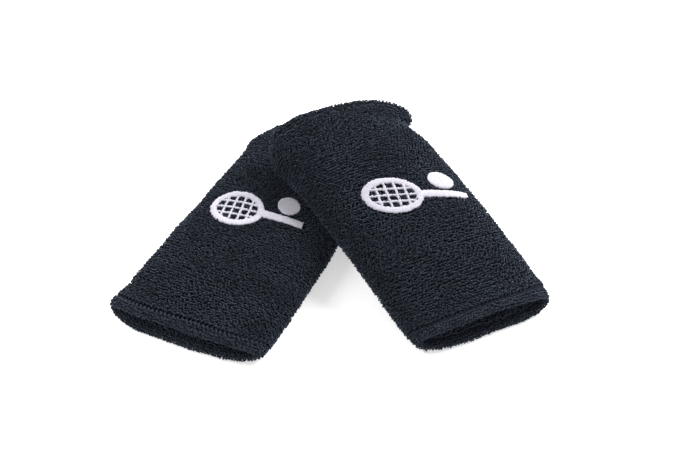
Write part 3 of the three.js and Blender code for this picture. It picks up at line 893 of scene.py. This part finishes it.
def backing(band):
    """The sheet behind the stitches: a thin closed rectangle whose rows go by the sine and
    whose columns go by the root of the cosine, so that both crowd towards its edges."""
    rows, columns = BACKING_ROWS, BACKING_COLUMNS
    y = BACKING["along"] / 2 * np.sin(np.linspace(-pi / 2, pi / 2, rows))[:, None]
    turn = (np.arange(2 * columns) + 0.5) * pi / columns
    across = BACKING["across"] / 2 * signed_power(np.cos(turn), EDGE_POWER)[None]
    middle = -(BACKING_DEPTH + BACKING_THICKNESS / 2)
    lift = BACKING_THICKNESS / 2 * np.sign(np.sin(turn))[None]
    across, along = band.emblem["across"] - across + 0 * y, band.emblem["along"] + y
    points = band.on_top(along + 0 * across, across, middle + lift + 0 * across)
    ends = np.arange(columns)
    facing = 2 * columns - 1 - ends
    near = np.stack([ends[:-1], ends[1:], facing[1:], facing[:-1]], axis=1)
    far = (rows - 1) * 2 * columns + near[:, ::-1]
    return points.reshape(-1, 3), [grid_faces(rows, 2 * columns, False), near, far]


# ---- The pieces of a band ----
OUTER_PARTS = 3
BARE_SEAM = 0.9  # how far behind the welt the outer layer's loops start
# How far the welt's loops keep from its edge inside the band, and from its edge outside.
WELT_OVERLAP, WELT_BARE = 1.0, 1.2
SATIN_SEED_STEP = 31


def looped(name, band, stretch, size, seed, material):
    """A stretch of the skin's loops as one piece, with none under the embroidery."""
    path, share, rng = pile(band, *stretch, size, seed)
    kept = ~under_stitches(band, path, share)
    shape = loops(band, path[kept], share[kept], size, rng)
    return make_piece(name, band, shape, material)


def all_loops(band):
    """A band's loops: the outer face in even stretches, the fold, the lining near the mouth,
    and the welt. Gives the outer layer's pieces and the lining's."""
    outer_start = SEAM_SIDE + BARE_SEAM
    run = (STRAIGHT - outer_start) / OUTER_PARTS
    outer = []
    for part in range(OUTER_PARTS):
        stretch = (outer_start + part * run, outer_start + part * run + run)
        name = f"outer_loops_{part + 1}"
        outer.append(looped(name, band, stretch, LOOP, part, terry))
    fold = (STRAIGHT, STRAIGHT + ARC + FOLD_LOOPS_REACH)
    outer.append(looped("fold_loops", band, fold, SHORT_LOOP, SEEDS["fold"], terry))
    # The lining's loops take the lighter lining finish: painted light inside the mouth.
    inside, seed = (WELT_BACK - LINING_REACH, WELT_BACK + WELT_OVERLAP), SEEDS["lining"]
    inner = looped("lining_loops", band, inside, LOOP, seed, lining)
    edge = (WELT_BACK + WELT_OVERLAP, SKIN_LENGTH + WELT_SIDE - WELT_BARE)
    looped("welt_loops", band, edge, SHORT_LOOP, SEEDS["welt"], knit)
    return outer, inner


def both_layers(band):
    """The two layers of ground knit, each a sheet of cloth that carries its loops. The outer
    one goes from the seam over the fold and a little way back inside, and the lining goes
    the rest of the way back to the welt."""
    shape = sleeve(band, SEAM_SIDE, FOLD_END)
    outer = make_piece("outer_terry", band, shape, ground)
    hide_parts(band.node("outer_sleeve"))
    flat = (band.perimeter * MM, (FOLD_END - SEAM_SIDE) * MM)
    shape = sleeve(band, FOLD_END + CLEARANCE, WELT_BACK - CLEARANCE)
    inner = make_piece("lining_terry", band, shape, ground)
    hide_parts(band.node("inner_sleeve"))
    flat = (band.perimeter * MM, (WELT_BACK - FOLD_END) * MM)
    return outer


def mouth(band):
    """The welt, and the seam's stitches behind it."""
    edge = make_piece("welt_knit", band, welt(band), knit)
    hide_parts(band.node("mouth_welt"))
    seam = make_piece("seam_chain", band, chain(band), dark_thread)
    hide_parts(band.node("mouth_seam_thread"))
    make_piece("seam_cover", band, slanted(band), dark_thread)


def between_layers(band):
    """The elastic yarn, and the sheet behind the embroidery."""
    yarn = make_piece("elastic_helix", band, elastic(band), covered_yarn)
    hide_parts(band.node("elastic_yarn"))
    sheet = make_piece("stitch_backing", band, backing(band), nonwoven)
    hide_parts(band.node("emblem_backing"))


def embroidery(band):
    """The racket, its strings and the ball, each as one piece of satin stitches."""
    for name, lines in EMBLEM.items():
        seeds = [band.seed + SATIN_SEED_STEP * i for i in range(len(lines))]
        shape = joined([satin(band, *line, seed) for line, seed in zip(lines, seeds)])
        piece = make_piece(f"satin_{name}", band, shape, white_thread)
        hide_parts(band.node(f"emblem_{name}"))


def loose_yarn(band):
    """Stray fibres over the terry, and the cut ends at the welt."""
    make_piece("loose_fibres", band, stray_fibres(band), terry)
    make_piece("yarn_ends", band, loose_ends(band), dark_thread)


for band in (lower, upper):
    outer_loops, inner_loops = all_loops(band)
    outer_terry = both_layers(band)
    mouth(band)
    between_layers(band)
    embroidery(band)
    loose_yarn(band)


# ---- Floor, light and camera, in metres ----
WALLS, CEILING = 1.35, 0.24  # how bright the studio is low down and overhead
WALLS_END, CEILING_START = 0.2, 0.7  # how steeply up each is seen, 1 being straight up
FLOOR_HALF = 3.0
# PAPER_GLOW is painted light: the floor glows to wash out the pair's shadow.
PAPER, PAPER_GLOW = 0.93, 0.5
WHITE = (1.0, 1.0, 1.0, 1.0)
LIGHTS = {  # where each hangs, its diameter and its power in watts
    "key": ((0.9, 0.55, 0.7), 0.45, 17.5),
    "left": ((-0.9, 0.1, 0.7), 0.6, 6.8),
    "back": ((0.2, 1.1, 0.5), 0.8, 13.0),
}
VIEW_UP, VIEW_REACH, LENS = radians(50.565), 0.59513, 65.02


def add(name, data):
    """Puts a mesh, light or camera into the scene."""
    added = bpy.data.objects.new(name, data)
    bpy.context.scene.collection.objects.link(added)
    return added


def pale_floor():
    """A wide sheet of white paper under the pair. It glows by PAPER_GLOW: painted light that
    washes out the pair's shadow on it and lights the pair a little from below.
    """
    mesh = bpy.data.meshes.new("floor")
    corners = [(-1, -1), (1, -1), (1, 1), (-1, 1)]
    mesh.from_pydata([(x * FLOOR_HALF, y * FLOOR_HALF, 0) for x, y in corners], [], [range(4)])
    paper = Finish("pale_floor").shade(
        Base_Color=(PAPER, PAPER, PAPER, 1.0),
        Roughness=0.9,
        Emission_Color=WHITE,
        Emission_Strength=PAPER_GLOW,
    )
    mesh.materials.append(paper)
    add("floor", mesh)


def studio_walls():
    """Bright white walls all round, which turn smoothly into a dimmer ceiling."""
    studio = Finish("studio", bpy.data.worlds)
    upward = studio.node("ShaderNodeSeparateXYZ", None, {0: studio.place()}, "Z")
    bright = studio.node(
        "ShaderNodeMapRange", {"interpolation_type": "SMOOTHSTEP"},
        {"Value": upward, 1: WALLS_END, 2: CEILING_START, 3: WALLS, 4: CEILING}, "Result",
    )
    walls = studio.node("ShaderNodeBackground", None, {"Color": WHITE, "Strength": bright})
    studio.node("ShaderNodeOutputWorld", None, {"Surface": walls})
    bpy.context.scene.world = studio.made


def round_light(name, at, size, power):
    """A round soft light that faces the middle of the pair."""
    light = bpy.data.lights.new(name, "AREA")
    light.shape, light.size, light.energy = "DISK", size, power
    lamp = add(name, light)
    lamp.location = at
    lamp.rotation_euler = (-Vector(at)).to_track_quat("-Z", "Y").to_euler()


def front_camera():
    """Looks down at the point that both bands' places are given from. Each band finds it
    from its own solid, and this takes their mean."""
    middle = (lower.origin + upper.origin) / 2 * MM
    aim = Vector((middle[0], middle[1], 0.0))
    data = bpy.data.cameras.new("camera")
    data.lens = LENS
    camera = add("camera", data)
    camera.location = aim + Vector((0, -cos(VIEW_UP), sin(VIEW_UP))) * VIEW_REACH
    camera.rotation_euler = (aim - camera.location).to_track_quat("-Z", "Y").to_euler()
    bpy.context.scene.camera = camera


pale_floor()
studio_walls()
for name, (at, size, power) in LIGHTS.items():
    round_light(name, at, size, power)
front_camera()
bpy.context.scene.view_settings.view_transform = "Standard"

bpy.context.view_layer.update()
